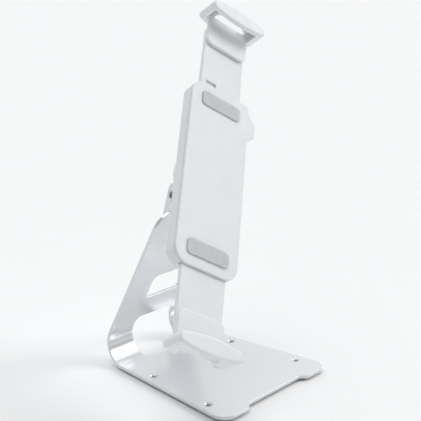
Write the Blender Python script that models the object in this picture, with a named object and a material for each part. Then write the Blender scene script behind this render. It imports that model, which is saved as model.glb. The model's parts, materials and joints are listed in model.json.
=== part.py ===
"""Tablet stand: a bent steel base with a tilting, swivelling corner grip for a tablet.

Metres, +Z up, the grip faces -Y.  The origin is on the surface that the feet stand on,
in the middle of the whole part's outline in this pose.
"""
import bpy
import bmesh
from math import acos, asin, atan2, cos, pi, radians, sin, tan
from mathutils import Matrix, Vector

MM = 0.001
GAP = 0.3 * MM                    # air between two pieces that touch on the real object
PAST = 2.0 * MM                   # how far a cutter runs past the face that it cuts

# ---- bent steel stand: lengths run along the outer face of the blank -----------------
SHEET = 2.5 * MM                  # steel thickness
FRONT_WIDTH = 119.9 * MM          # width at the front edge
SIDE_TAPER = radians(5.74)        # each side closes in by this angle towards the top
BASE_FLAT = 115.4 * MM            # front edge to the start of the bend
BEND_RADIUS = 17.7 * MM           # outer radius of the bend
LEAN = radians(65.5)              # upright's angle above the horizontal, leaning forward
UPRIGHT_FLAT = 110.0 * MM         # end of the bend to the top edge
FRONT_CORNER = 11.0 * MM
TOP_CORNER = 16.0 * MM
NOTCH_HALF = 31.5 * MM            # finger notch in the front edge
NOTCH_DEPTH = 4.7 * MM
NOTCH_ROUND = 2.3 * MM

HOLE_FRONT_Y = 24.1 * MM          # screw holes, from the front edge
HOLE_BACK_Y = 84.5 * MM
HOLE_INSET = 8.0 * MM             # from the side edge
HOLE_RADIUS = 2.1 * MM
SINK_RADIUS = 3.2 * MM            # countersink

HAND_START = 109.4 * MM           # lower opening: runs from the base up through the bend
HAND_END = 157.3 * MM
HAND_HALF_LOW = 22.8 * MM
HAND_HALF_HIGH = 20.4 * MM
HAND_ROUND_LOW = 8.5 * MM
HAND_ROUND_HIGH = 6.5 * MM
CABLE_START = 176.8 * MM          # upper opening, above the cross bar
CABLE_END = 197.6 * MM
CABLE_HALF_LOW = 18.0 * MM
CABLE_HALF_HIGH = 16.3 * MM
CABLE_ROUND_LOW = 2.0 * MM
CABLE_ROUND_HIGH = 6.0 * MM

FOOT_RADIUS = 6.0 * MM
FOOT_HEIGHT = 1.6 * MM
FOOT_EDGE = 0.5 * MM
FOOT_FRONT_Y = 13.5 * MM
FOOT_FRONT_X = 39.0 * MM
FOOT_BACK_Y = 102.0 * MM
FOOT_BACK_X = 36.0 * MM

# ---- tilt hinge at the top of the upright --------------------------------------------
HINGE_RISE = 10.7 * MM            # hinge axis beyond the upright's top edge
HINGE_BEHIND = 3.7 * MM           # hinge axis behind the upright's outer face
HINGE_BOLT_RADIUS = 3.0 * MM
EAR = 2.5 * MM                    # thickness of the bracket's web and ears
EAR_GAP = 31.0 * MM               # clear width between the ears
EAR_RADIUS = 8.0 * MM
BRACKET_LENGTH = 30.0 * MM        # web, measured down from the upright's top edge
BRACKET_SCREW_X = 8.5 * MM
BRACKET_SCREW_DROP = 18.0 * MM    # below the upright's top edge
BRACKET_SCREW_RADIUS = 2.0 * MM
BRACKET_HEAD_RADIUS = 3.8 * MM
BRACKET_HEAD = 2.2 * MM
BRACKET_NUT_ACROSS = 7.0 * MM
BRACKET_NUT = 2.6 * MM
SCREW_TAIL = 3.0 * MM             # bracket screw past the bracket
EAR_DEPTH = 7.2 * MM              # ears behind the upright's outer face, below the hinge
EAR_SLOPE = 9.0 * MM              # the ears' lower corner is cut off over this length
EAR_LIFT = 3.0 * MM               # ears end this far above the web's lower edge
EAR_START = 0.25                  # radians that the ears' round end stops short by
WEB_ROUND = 1.0 * MM
HINGE_HEAD_RADIUS = 5.0 * MM
HINGE_HEAD = 4.0 * MM
HINGE_NUT = 5.0 * MM
BIG_NUT_ACROSS = 10.0 * MM        # both 6 mm nuts
HINGE_TAIL = 1.5 * MM             # bolt past its nut
SPRING_WASHER_RADIUS = 5.6 * MM
FRICTION_WASHER = 1.2 * MM
FRICTION_WASHER_RADIUS = 7.4 * MM
SPRING_WASHER = 0.9 * MM

# ---- tilt plate and swivel -----------------------------------------------------------
TILT = radians(59.1)              # grip plane above the horizontal
HEAD_DEPTH = 26.5 * MM            # hinge axis to the plane the tablet's back lies on
PLATE_RADIUS = 25.0 * MM
PLATE = 3.0 * MM
LUG = 2.5 * MM
LUG_RADIUS = 7.2 * MM
LUG_FOOT = 11.5 * MM              # half width of a lug where it meets the plate
SWIVEL_WASHER = 1.0 * MM
SWIVEL_WASHER_HOLE = 9.0 * MM
SWIVEL_WASHER_INSET = 1.5 * MM    # from the plate's edge
SWIVEL_RING_RADIUS = 7.0 * MM     # spring washer under the swivel bolt's head
SWIVEL_BOLT_RADIUS = 3.0 * MM
SWIVEL_HEAD_RADIUS = 6.2 * MM
SWIVEL_HEAD = 3.0 * MM

# ---- grip: sizes across (x), along the arms (y) and off the tablet's back (z) --------
ARM_ANGLE = radians(54.7)         # arms above the tablet's lower edge
PAD = 0.9 * MM                    # soft pads under the tablet
FRONT_COVER = 1.8 * MM
ARM = 3.5 * MM                    # thickness of the arms
NUT_SPACE = 3.5 * MM              # room behind the arms for the swivel nut
REAR_WALL = 2.5 * MM
HOUSING_HALF = 27.5 * MM
HOUSING_HALF_LENGTH = 76.0 * MM
HOUSING_CORNER = 12.0 * MM
HOUSING_EDGE = 2.0 * MM           # rounding of the rear cover's outer edge
COVER_EDGE = 0.8 * MM             # rounding of the front cover's outer edge
POCKET_INSET = 5.0 * MM           # lightening pockets, from the arms' edges
POCKET_END = 8.0 * MM             # and from the housing's ends
POCKET_MIDDLE = 12.0 * MM         # and from the swivel
POCKET_ROUND = 3.0 * MM
COVER_SCREW_X = 23.4 * MM
COVER_SCREW_Y = 34.0 * MM
COVER_SCREW_RADIUS = 1.3 * MM
COVER_HEAD_RADIUS = 2.4 * MM
COVER_HEAD = 1.5 * MM
SKIN = 0.6 * MM                   # plastic left in front of a blind screw hole
COVER_PAD_HALF = 18.0 * MM
COVER_PAD_WIDE = 12.0 * MM
COVER_PAD_ROUND = 3.0 * MM
COVER_PAD_INSET = 14.0 * MM       # middle of a pad, from the housing's end

ARM_HALF = 19.5 * MM
ARM_ROOT = 45.0 * MM              # inner end of an arm's wide part, from the swivel
RACK_REACH = 14.0 * MM            # how far the rack runs past the swivel
RACK_OUTER = 14.0 * MM            # outer side of the rack
MODULE = 1.0 * MM
TEETH = 12
RACK_ADDENDUM = 0.65
PINION_ADDENDUM = 0.80
ROOT_CLEARANCE = 0.30
BACKLASH = 0.30 * MM              # taken off each tooth
PRESSURE = radians(20.0)
POST_RADIUS = 2.4 * MM
ARM_IN = 31.0 * MM                # travel towards the swivel, for the smallest tablet
SLOT_SPARE = 2.0 * MM             # slot past the other rack's end
ARM_CORNER = 5.0 * MM
RACK_MARGIN = 1.0 * MM            # plain edge at both ends of a rack

# ---- corner clamps -------------------------------------------------------------------
TABLET_WIDTH = 185.7 * MM         # the tablet that the clamps hold in this pose
TABLET_HEIGHT = 241.2 * MM
TABLET_THICK = 9.4 * MM
CLAMP_REACH = 137.0 * MM          # swivel to the middle of a clamp's bar, arms centred
TEETH_OFF_CENTRE = 1              # upper arm one tooth out, lower arm one tooth in
TABLET_RISE = 2.26 * MM           # tablet's centre beyond the swivel, up the tablet
BAR_HALF = 26.3 * MM              # half length of the bar
BAR_MIDDLE = 13.2 * MM            # bar width in the middle
BAR_END = 8.8 * MM                # bar width at its ends
LIP = 3.4 * MM                    # bar in front of the glass
LIP_PAD = 0.6 * MM
WALL_PAD = 0.8 * MM
CLAMP_PLATE = 2.6 * MM            # plate behind the tablet
CLAMP_NECK = 26.0 * MM            # plate's length inwards from the bar's middle
NECK_ROUND = 6.0 * MM
CLAMP_BITE = 6.0 * MM             # notch in the outer edge, behind the tablet's corner
BITE_HALF = 16.5 * MM
BITE_ROUND = 3.0 * MM
ARM_SHORT = 1.0 * MM              # arm's end to the bar's inner edge
CLAMP_SCREW_X = 11.0 * MM
CLAMP_SCREW_INSET = 11.0 * MM     # from the arm's outer end
CLAMP_SCREW_RADIUS = 1.3 * MM
LIP_PAD_HALF = 11.0 * MM
LIP_PAD_WIDE = 6.0 * MM
LIP_PAD_ROUND = 1.2 * MM
WALL_PAD_HALF = 3.0 * MM
WALL_PAD_INSET = 1.0 * MM         # from the tablet's back and front
WALL_PAD_SHARE = 0.75             # of the bar's end width, in from the bar's tip
EDGE_FRONT = 1.6 * MM             # rounding of the bar's front edges
EDGE_REAR = 2.6 * MM              # rounding of the clamp's rear edges

# ---- key lock ------------------------------------------------------------------------
LOCK_Y = 56.0 * MM
LOCK_LOBE = 9.5 * MM
LOBE_ROUND = 3.0 * MM
LOBE_SHOULDER = 5.2 * MM
FLANGE_EDGE = 0.6 * MM
PLUG_SUNK = 0.4 * MM
KEYWAY_DEEP = 5.0 * MM
BARREL_RADIUS = 5.6 * MM
BARREL_FLANGE = 7.6 * MM
BARREL_PROUD = 2.6 * MM
PLUG_RADIUS = 3.8 * MM
CAM_RADIUS = 4.0 * MM
CAM_THROW = 1.3 * MM
KEYWAY_LONG = 4.6 * MM
KEYWAY_WIDE = 1.1 * MM

# ---- worked out from the sizes above -------------------------------------------------
BEND_TURN = pi - LEAN
BEND_LENGTH = BEND_RADIUS * BEND_TURN
UPRIGHT_START = BASE_FLAT + BEND_LENGTH
BLANK_LENGTH = UPRIGHT_START + UPRIGHT_FLAT
ORIGIN_Y = (HOLE_FRONT_Y + HOLE_BACK_Y) / 2      # middle of the screw holes
STAND_PLACE = (-1.815 * MM, -5.95 * MM, FOOT_HEIGHT + GAP)   # of that middle, on the underside

FRONT_COVER_Z = -PAD - GAP                       # front face of the front cover
ARM_Z = FRONT_COVER_Z - FRONT_COVER - GAP        # front face of the arms
NUT_Z = ARM_Z - ARM - GAP
REAR_WALL_Z = NUT_Z - NUT_SPACE
HOUSING_BACK_Z = REAR_WALL_Z - REAR_WALL
PLATE_Z = HOUSING_BACK_Z - GAP - SWIVEL_WASHER - GAP
BAR_TOP_Z = TABLET_THICK + LIP_PAD + GAP + LIP
CLAMP_PLATE_Z = ARM_Z + GAP                      # rear face of the clamp's plate
CLAMP_REAR_Z = ARM_Z - ARM
PITCH_RADIUS = MODULE * TEETH / 2
TOOTH_PITCH = pi * MODULE
LOCK_X = ARM_HALF + GAP + CAM_RADIUS + CAM_THROW
EAR_INNER = EAR_GAP / 2
LUG_OUTER = EAR_INNER - 2 * GAP - FRICTION_WASHER
ROUND = 24                                       # sides of a large round piece
SMALL = 12                                       # sides of a screw
MERGE = 0.001 * MM                               # points nearer than this are one point

# a screw's shape, as shares of its own radius, head radius and head height
SCREW_CHAMFER = 0.25
HEAD_TOP = 0.8
HEAD_SIDE = 0.55
SOCKET_SIZE = 0.48
SOCKET_FLOOR = 0.4

WHITE_COAT = ("white_powder_coat", (0.78, 0.79, 0.80), 0.38, 0.0)
WHITE_PLASTIC = ("white_plastic", (0.80, 0.80, 0.81), 0.35, 0.0)
ZINC = ("zinc_steel", (0.55, 0.56, 0.58), 0.35, 0.9)
DARK_STEEL = ("dark_steel", (0.12, 0.12, 0.13), 0.40, 0.8)
RUBBER = ("grey_rubber", (0.20, 0.20, 0.21), 0.80, 0.0)
SILICONE = ("clear_silicone", (0.72, 0.73, 0.74), 0.55, 0.0)
ACETAL = ("ivory_acetal", (0.74, 0.72, 0.66), 0.45, 0.0)
NICKEL = ("nickel_lock", (0.60, 0.58, 0.54), 0.30, 0.9)


# ---- scene and mesh helpers ----------------------------------------------------------
def clear_scene():
    for obj in list(bpy.data.objects):
        bpy.data.objects.remove(obj, do_unlink=True)


def material(look):
    name, colour, roughness, metallic = look
    found = bpy.data.materials.get(name)
    if found:
        return found
    made = bpy.data.materials.new(name)
    made.use_nodes = True
    shader = made.node_tree.nodes["Principled BSDF"]
    shader.inputs["Base Color"].default_value = (*colour, 1.0)
    shader.inputs["Roughness"].default_value = roughness
    shader.inputs["Metallic"].default_value = metallic
    made.diffuse_color = (*colour, 1.0)
    return made


def empty(name, parent=None, location=(0, 0, 0), rotation=(0, 0, 0)):
    frame = bpy.data.objects.new(name, None)
    frame.empty_display_size = 0.01
    bpy.context.collection.objects.link(frame)
    frame.parent = parent
    frame.location = location
    frame.rotation_euler = rotation
    return frame


def face_outwards(bm):
    bmesh.ops.recalc_face_normals(bm, faces=bm.faces)
    if bm.calc_volume(signed=True) < 0:
        bmesh.ops.reverse_faces(bm, faces=bm.faces)


def finish(name, bm, look, parent, location=(0, 0, 0), rotation=(0, 0, 0), smooth=32):
    """Turn a bmesh into a named object; angles over smooth degrees stay sharp."""
    face_outwards(bm)
    mesh = bpy.data.meshes.new(name)
    bm.to_mesh(mesh)
    bm.free()
    mesh.shade_smooth()
    mesh.set_sharp_from_angle(angle=radians(smooth))
    obj = bpy.data.objects.new(name, mesh)
    bpy.context.collection.objects.link(obj)
    mesh.materials.append(material(look))
    obj.parent = parent
    obj.location = location
    obj.rotation_euler = rotation
    return obj


def arc(centre, radius, start, end, steps):
    """Points on an arc, both ends included; angles in radians."""
    return [(centre[0] + radius * cos(start + (end - start) * i / steps),
             centre[1] + radius * sin(start + (end - start) * i / steps))
            for i in range(steps + 1)]


def circle(radius, sides=ROUND, centre=(0, 0)):
    return arc(centre, radius, 0, 2 * pi, sides)[:-1]


def rounded(corners, steps=6):
    """Closed outline from (x, y, radius) corners, each rounded by its own radius."""
    outline = []
    count = len(corners)
    for i, (x, y, radius) in enumerate(corners):
        here = Vector((x, y))
        before = Vector(corners[i - 1][:2]) - here
        after = Vector(corners[(i + 1) % count][:2]) - here
        if radius <= 0:
            outline.append((x, y))
            continue
        before.normalize()
        after.normalize()
        half = acos(max(-1.0, min(1.0, before.dot(after)))) / 2
        reach = radius / tan(half)
        centre = here + (before + after).normalized() * radius / sin(half)
        first = here + before * reach - centre
        last = here + after * reach - centre
        start = atan2(first.y, first.x)
        sweep = (atan2(last.y, last.x) - start + pi) % (2 * pi) - pi
        outline += arc(centre, radius, start, start + sweep, steps)
    return outline


def box_outline(half_x, low_y, high_y, radius=0.0, steps=5):
    return rounded([(-half_x, low_y, radius), (half_x, low_y, radius),
                    (half_x, high_y, radius), (-half_x, high_y, radius)], steps)


def prism(outline, low, high):
    """Solid with this outline in x and y, from low to high in z."""
    bm = bmesh.new()
    verts = [bm.verts.new((x, y, low)) for x, y in outline]
    face = bm.faces.new(verts)
    grown = bmesh.ops.extrude_face_region(bm, geom=[face])
    tops = [v for v in grown["geom"] if isinstance(v, bmesh.types.BMVert)]
    bmesh.ops.translate(bm, verts=tops, vec=(0, 0, high - low))
    face_outwards(bm)
    return bm


def turned(profile, sides=ROUND):
    """Solid of revolution about z from a closed (radius, z) profile."""
    bm = bmesh.new()
    rings = []
    for radius, z in profile:
        if radius == 0:
            rings.append([bm.verts.new((0, 0, z))])
            continue
        rings.append([bm.verts.new((radius * cos(2 * pi * k / sides),
                                    radius * sin(2 * pi * k / sides), z))
                      for k in range(sides)])
    for here, there in zip(rings, rings[1:] + rings[:1]):
        if len(here) == 1 and len(there) == 1:
            continue
        for k in range(sides):
            n = (k + 1) % sides
            quad = [here[k % len(here)], here[n % len(here)],
                    there[n % len(there)], there[k % len(there)]]
            bm.faces.new(list(dict.fromkeys(quad)))
    face_outwards(bm)
    return bm


def moved(bm, offset=(0, 0, 0), turn=None):
    if turn is not None:
        bmesh.ops.transform(bm, matrix=turn, verts=bm.verts)
    bmesh.ops.translate(bm, verts=bm.verts, vec=offset)
    return bm


def combine(bm, other, operation):
    """Boolean of two bmeshes, both of which are used up."""
    pair = []
    for source in (bm, other):
        obj = bpy.data.objects.new("work", bpy.data.meshes.new("work"))
        source.to_mesh(obj.data)
        source.free()
        obj.hide_render = True
        obj.display_type = "WIRE"
        bpy.context.collection.objects.link(obj)
        pair.append(obj)
    base, tool = pair
    step = base.modifiers.new(operation.lower(), "BOOLEAN")
    step.operation = operation
    step.object = tool
    bpy.context.view_layer.update()
    solved = base.evaluated_get(bpy.context.evaluated_depsgraph_get())
    result = bmesh.new()
    result.from_mesh(solved.to_mesh())
    solved.to_mesh_clear()
    for obj in pair:
        bpy.data.objects.remove(obj, do_unlink=True)
    bmesh.ops.remove_doubles(result, verts=result.verts, dist=MERGE)
    bmesh.ops.dissolve_degenerate(result, dist=MERGE, edges=result.edges)
    return result


def cut(bm, *cutters):
    for cutter in cutters:
        bm = combine(bm, cutter, "DIFFERENCE")
    return bm


def join(bm, *others):
    for other in others:
        bm = combine(bm, other, "UNION")
    return bm


def round_edges(bm, level, width, steps):
    """Round the edges that lie flat at this height."""
    edges = [e for e in bm.edges if all(abs(v.co.z - level) < MERGE for v in e.verts)]
    bmesh.ops.bevel(bm, geom=edges, offset=width, segments=steps, profile=0.5,
                    affect="EDGES", clamp_overlap=True)
    return bm


# ---- the bent steel stand ------------------------------------------------------------
def half_width(along):
    return FRONT_WIDTH / 2 - along * tan(SIDE_TAPER)


def bend(along, depth):
    """Place on the stand (y, z) of a point on the blank; depth is in from the outer face."""
    radius = BEND_RADIUS - depth
    if along <= BASE_FLAT:
        return along, depth
    turn = min((along - BASE_FLAT) / BEND_RADIUS, BEND_TURN)
    rest = max(0.0, along - UPRIGHT_START)
    y = BASE_FLAT + radius * sin(turn) - rest * cos(LEAN)
    z = BEND_RADIUS - radius * cos(turn) + rest * sin(LEAN)
    return y, z


def blank_outline():
    tip = NOTCH_HALF + NOTCH_ROUND
    root = NOTCH_HALF - NOTCH_ROUND
    right = [(half_width(0), 0, FRONT_CORNER),
             (half_width(BLANK_LENGTH), BLANK_LENGTH, TOP_CORNER)]
    left = [(-x, y, r) for x, y, r in reversed(right)]
    notch = [(-tip, 0, NOTCH_ROUND), (-root, NOTCH_DEPTH, NOTCH_ROUND),
             (root, NOTCH_DEPTH, NOTCH_ROUND), (tip, 0, NOTCH_ROUND)]
    return rounded(right + left + notch, 8)


def opening_outline(start, end, half_low, half_high, round_low, round_high):
    return rounded([(half_low, start, round_low), (half_high, end, round_high),
                    (-half_high, end, round_high), (-half_low, start, round_low)], 7)


def screw_place(y, side):
    return side * (half_width(y) - HOLE_INSET), y


def make_stand(frame):
    blank = prism(blank_outline(), 0, SHEET)
    cutters = []
    openings = [(HAND_START, HAND_END, HAND_HALF_LOW, HAND_HALF_HIGH,
                 HAND_ROUND_LOW, HAND_ROUND_HIGH),
                (CABLE_START, CABLE_END, CABLE_HALF_LOW, CABLE_HALF_HIGH,
                 CABLE_ROUND_LOW, CABLE_ROUND_HIGH)]
    for sizes in openings:
        cutters.append(prism(opening_outline(*sizes), -SHEET, 2 * SHEET))
    for y in (HOLE_FRONT_Y, HOLE_BACK_Y):
        for side in (-1, 1):
            x, _ = screw_place(y, side)
            slope = SINK_RADIUS - HOLE_RADIUS
            hole = turned([(0, 2 * SHEET), (SINK_RADIUS, 2 * SHEET), (SINK_RADIUS, SHEET),
                           (HOLE_RADIUS, SHEET - slope), (HOLE_RADIUS, -SHEET),
                           (0, -SHEET)], 24)
            cutters.append(moved(hole, (x, y, 0)))
    for side in (-1, 1):
        place = (side * BRACKET_SCREW_X, BLANK_LENGTH - BRACKET_SCREW_DROP, 0)
        hole = prism(circle(BRACKET_SCREW_RADIUS + GAP, SMALL), -SHEET, 2 * SHEET)
        cutters.append(moved(hole, place))
    blank = cut(blank, *cutters)
    bmesh.ops.triangulate(blank, faces=blank.faces)
    strips = 18
    for i in range(strips + 1):
        line = BASE_FLAT + BEND_LENGTH * i / strips
        bmesh.ops.bisect_plane(blank, geom=blank.verts[:] + blank.edges[:] + blank.faces[:],
                               dist=MERGE / 10, plane_co=(0, line, 0), plane_no=(0, 1, 0))
    for vert in blank.verts:
        y, z = bend(vert.co.y, vert.co.z)
        vert.co = (vert.co.x, y - ORIGIN_Y, z)
    return finish("bent_stand", blank, WHITE_COAT, frame)


def make_feet(frame):
    places = {"foot_front_left": (-FOOT_FRONT_X, FOOT_FRONT_Y),
              "foot_front_right": (FOOT_FRONT_X, FOOT_FRONT_Y),
              "foot_back_left": (-FOOT_BACK_X, FOOT_BACK_Y),
              "foot_back_right": (FOOT_BACK_X, FOOT_BACK_Y)}
    for name, (x, y) in places.items():
        pad = turned([(0, 0), (FOOT_RADIUS, 0), (FOOT_RADIUS, FOOT_EDGE - FOOT_HEIGHT),
                      (FOOT_RADIUS - FOOT_EDGE, -FOOT_HEIGHT), (0, -FOOT_HEIGHT)])
        finish(name, pad, RUBBER, frame, (x, y - ORIGIN_Y, -GAP))


# ---- fasteners, all along z with the head at the bottom ------------------------------
def socket_screw(radius, length, head_radius, head, sides=SMALL):
    """Round-headed screw: head from -head to 0, shank from 0 up to length."""
    chamfer = SCREW_CHAMFER * radius
    profile = [(0, -head), (head_radius * HEAD_TOP, -head), (head_radius, -head * HEAD_SIDE),
               (head_radius, 0), (radius, 0), (radius, length - chamfer),
               (radius - chamfer, length), (0, length)]
    screw = turned(profile, sides)
    socket = prism(circle(head_radius * SOCKET_SIZE, 6), -head - radius, -head * SOCKET_FLOOR)
    return cut(screw, socket)


def hex_nut(across, thickness, bore):
    """Nut from 0 to thickness."""
    nut = prism(circle(across / 2 / cos(pi / 6), 6), 0, thickness)
    return cut(nut, prism(circle(bore, SMALL), -thickness, 2 * thickness))


def washer(outer, inner, low, high, sides=ROUND):
    return turned([(inner, low), (outer, low), (outer, high), (inner, high)], sides)


# ---- hinge bracket on the upright ----------------------------------------------------
def make_bracket(frame):
    """In the upright's frame: x across, y up the sheet from its top edge, z out behind."""
    web_low = GAP
    web_high = GAP + EAR
    outer = EAR_INNER + EAR
    # the web stops inside the ears, and the ears start inside the web, so that they join
    web = prism(box_outline(outer - EAR / 2, -BRACKET_LENGTH, -GAP * 4, WEB_ROUND),
                web_low, web_high)
    ear_low = web_low + EAR / 8
    ear_end = EAR_LIFT - BRACKET_LENGTH
    ears = []
    for side in (-1, 1):
        lobe = arc((HINGE_RISE, HINGE_BEHIND), EAR_RADIUS, EAR_START - pi / 2, pi / 2, 14)
        outline = lobe + [(EAR_SLOPE - BRACKET_LENGTH, EAR_DEPTH), (ear_end, EAR_DEPTH / 2),
                          (ear_end, ear_low), (GAP * 4, ear_low)]
        ear = prism(outline, 0, EAR)
        # outline x -> up the sheet, outline y -> out behind, thickness -> across
        turn = Matrix(((0, 0, 1), (1, 0, 0), (0, 1, 0))).to_4x4()
        start = EAR_INNER if side > 0 else -outer
        ears.append(moved(ear, (start, 0, 0), turn))
    body = join(web, *ears)
    cutters = []
    for side in (-1, 1):
        hole = prism(circle(BRACKET_SCREW_RADIUS + GAP, SMALL), -EAR, 3 * EAR)
        cutters.append(moved(hole, (side * BRACKET_SCREW_X, -BRACKET_SCREW_DROP, 0)))
    pin_hole = prism(circle(HINGE_BOLT_RADIUS + GAP), -2 * outer, 2 * outer)
    turn = Matrix.Rotation(pi / 2, 4, "Y")
    cutters.append(moved(pin_hole, (0, HINGE_RISE, HINGE_BEHIND), turn))
    body = cut(body, *cutters)
    finish("hinge_bracket", body, WHITE_COAT, frame)
    for side, name in ((1, "left"), (-1, "right")):
        place = (side * BRACKET_SCREW_X, -BRACKET_SCREW_DROP, 0)
        length = SHEET + 2 * GAP + EAR + SCREW_TAIL
        screw = socket_screw(BRACKET_SCREW_RADIUS, length, BRACKET_HEAD_RADIUS, BRACKET_HEAD)
        finish("bracket_screw_" + name, moved(screw, (0, 0, -SHEET - GAP)), ZINC, frame, place)
        nut = hex_nut(BRACKET_NUT_ACROSS, BRACKET_NUT, BRACKET_SCREW_RADIUS + GAP)
        finish("bracket_nut_" + name, moved(nut, (0, 0, web_high + GAP)), ZINC, frame, place)


def make_hinge_pin(frame):
    """In the hinge's frame, whose x is the hinge axis."""
    side_turn = Matrix.Rotation(pi / 2, 4, "Y")
    ear_outer = EAR_INNER + EAR
    length = 2 * ear_outer + 3 * GAP + SPRING_WASHER + HINGE_NUT + HINGE_TAIL
    bolt = socket_screw(HINGE_BOLT_RADIUS, length, HINGE_HEAD_RADIUS, HINGE_HEAD, ROUND)
    finish("hinge_bolt", moved(bolt, (-ear_outer - GAP, 0, 0), side_turn), ZINC, frame)
    ring = washer(SPRING_WASHER_RADIUS, HINGE_BOLT_RADIUS + GAP, 0, SPRING_WASHER)
    finish("hinge_spring_washer", moved(ring, (ear_outer + GAP, 0, 0), side_turn), ZINC, frame)
    body = hex_nut(BIG_NUT_ACROSS, HINGE_NUT, HINGE_BOLT_RADIUS + GAP)
    place = (ear_outer + 2 * GAP + SPRING_WASHER, 0, 0)
    finish("hinge_nut", moved(body, place, side_turn), ZINC, frame)
    for side, name in ((-1, "left"), (1, "right")):
        start = LUG_OUTER + GAP if side > 0 else -LUG_OUTER - GAP - FRICTION_WASHER
        ring = washer(FRICTION_WASHER_RADIUS, HINGE_BOLT_RADIUS + GAP, 0, FRICTION_WASHER)
        finish("friction_washer_" + name, moved(ring, (start, 0, 0), side_turn), ACETAL, frame)


# ---- tilt plate ----------------------------------------------------------------------
def make_tilt_plate(frame):
    """In the hinge's frame: y up the grip's plane, z out towards the tablet."""
    front = HEAD_DEPTH + PLATE_Z
    disc = prism(circle(PLATE_RADIUS, 40), front - PLATE, front)
    lugs = []
    for side in (-1, 1):
        outline = arc((0, 0), LUG_RADIUS, pi, 2 * pi, 14)
        outline += [(LUG_FOOT, front - PLATE / 2), (-LUG_FOOT, front - PLATE / 2)]
        # outline x -> y, outline y -> z, thickness -> across
        turn = Matrix(((0, 0, 1), (1, 0, 0), (0, 1, 0))).to_4x4()
        start = LUG_OUTER - LUG if side > 0 else -LUG_OUTER
        lugs.append(moved(prism(outline, 0, LUG), (start, 0, 0), turn))
    body = join(disc, *lugs)
    pin_hole = prism(circle(HINGE_BOLT_RADIUS + GAP), -EAR_GAP, EAR_GAP)
    pin_hole = moved(pin_hole, turn=Matrix.Rotation(pi / 2, 4, "Y"))
    bolt_hole = prism(circle(SWIVEL_BOLT_RADIUS + GAP), front - 2 * PLATE, front + PLATE)
    body = cut(body, pin_hole, bolt_hole)
    finish("tilt_plate", body, WHITE_COAT, frame)


# ---- grip: swivel parts --------------------------------------------------------------
def make_swivel(frame):
    low = HOUSING_BACK_Z - GAP - SWIVEL_WASHER
    ring = washer(PLATE_RADIUS - SWIVEL_WASHER_INSET, SWIVEL_WASHER_HOLE,
                  low, low + SWIVEL_WASHER, 40)
    finish("swivel_washer", ring, ACETAL, frame)
    spring_top = PLATE_Z - PLATE - GAP
    ring = washer(SWIVEL_RING_RADIUS, SWIVEL_BOLT_RADIUS + GAP,
                  spring_top - SPRING_WASHER, spring_top)
    finish("swivel_spring_washer", ring, ZINC, frame)
    head_top = spring_top - SPRING_WASHER - GAP
    length = NUT_Z - GAP - head_top
    bolt = socket_screw(SWIVEL_BOLT_RADIUS, length, SWIVEL_HEAD_RADIUS, SWIVEL_HEAD, 24)
    finish("swivel_bolt", moved(bolt, (0, 0, head_top)), ZINC, frame)
    nut = hex_nut(BIG_NUT_ACROSS, NUT_SPACE - 2 * GAP, SWIVEL_BOLT_RADIUS + GAP)
    finish("swivel_nut", moved(nut, (0, 0, REAR_WALL_Z + GAP)), ZINC, frame)


# ---- grip: housing -------------------------------------------------------------------
def housing_body(low, high):
    """Rounded plate that bulges on one side to hold the lock."""
    bulge = LOCK_X + LOCK_LOBE
    start = LOCK_Y - LOCK_LOBE - (bulge - HOUSING_HALF) / 2
    end = LOCK_Y + LOCK_LOBE + (bulge - HOUSING_HALF) / 2
    return prism(rounded([(-HOUSING_HALF, -HOUSING_HALF_LENGTH, HOUSING_CORNER),
                          (HOUSING_HALF, -HOUSING_HALF_LENGTH, HOUSING_CORNER),
                          (HOUSING_HALF, start, LOBE_ROUND),
                          (bulge, LOCK_Y - LOBE_SHOULDER, 2 * LOBE_ROUND),
                          (bulge, LOCK_Y + LOBE_SHOULDER, 2 * LOBE_ROUND),
                          (HOUSING_HALF, end, LOBE_ROUND),
                          (HOUSING_HALF, HOUSING_HALF_LENGTH, LOCK_LOBE / 2),
                          (-HOUSING_HALF, HOUSING_HALF_LENGTH, HOUSING_CORNER)], 6), low, high)


def cover_screw_places():
    return [(x, y) for y in (-COVER_SCREW_Y, COVER_SCREW_Y)
            for x in (-COVER_SCREW_X, COVER_SCREW_X)]


def make_rear_cover(frame):
    split = ARM_Z                                # where the two covers meet
    body = housing_body(HOUSING_BACK_Z, split)
    body = round_edges(body, HOUSING_BACK_Z, HOUSING_EDGE, 4)
    channel = prism(box_outline(ARM_HALF + GAP, -2 * HOUSING_HALF_LENGTH,
                                2 * HOUSING_HALF_LENGTH), NUT_Z, split + ARM)
    cutters = [channel]
    pocket_end = HOUSING_HALF_LENGTH - POCKET_END
    for low, high in ((-pocket_end, -POCKET_MIDDLE), (POCKET_MIDDLE, pocket_end)):
        cutters.append(prism(box_outline(ARM_HALF - POCKET_INSET, low, high, POCKET_ROUND),
                             REAR_WALL_Z, NUT_Z + ARM))
    nut_room = circle((BIG_NUT_ACROSS / 2 + GAP) / cos(pi / 6), 6)
    cutters.append(prism(nut_room, REAR_WALL_Z, NUT_Z + ARM))
    cutters.append(prism(circle(SWIVEL_BOLT_RADIUS + GAP), HOUSING_BACK_Z - PAST, NUT_Z))
    cam_room = CAM_RADIUS + CAM_THROW + GAP
    cutters.append(prism(circle(cam_room, ROUND, (LOCK_X, LOCK_Y)), NUT_Z, split + ARM))
    cutters.append(prism(circle(BARREL_RADIUS + GAP, ROUND, (LOCK_X, LOCK_Y)),
                         HOUSING_BACK_Z - PAST, NUT_Z + PAST))
    for place in cover_screw_places():
        cutters.append(prism(circle(COVER_SCREW_RADIUS + GAP, SMALL, place),
                             HOUSING_BACK_Z - PAST, split + ARM))
        cutters.append(prism(circle(COVER_HEAD_RADIUS + GAP, SMALL, place),
                             HOUSING_BACK_Z - PAST, HOUSING_BACK_Z + COVER_HEAD + 2 * GAP))
    finish("rear_cover", cut(body, *cutters), WHITE_PLASTIC, frame)


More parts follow.
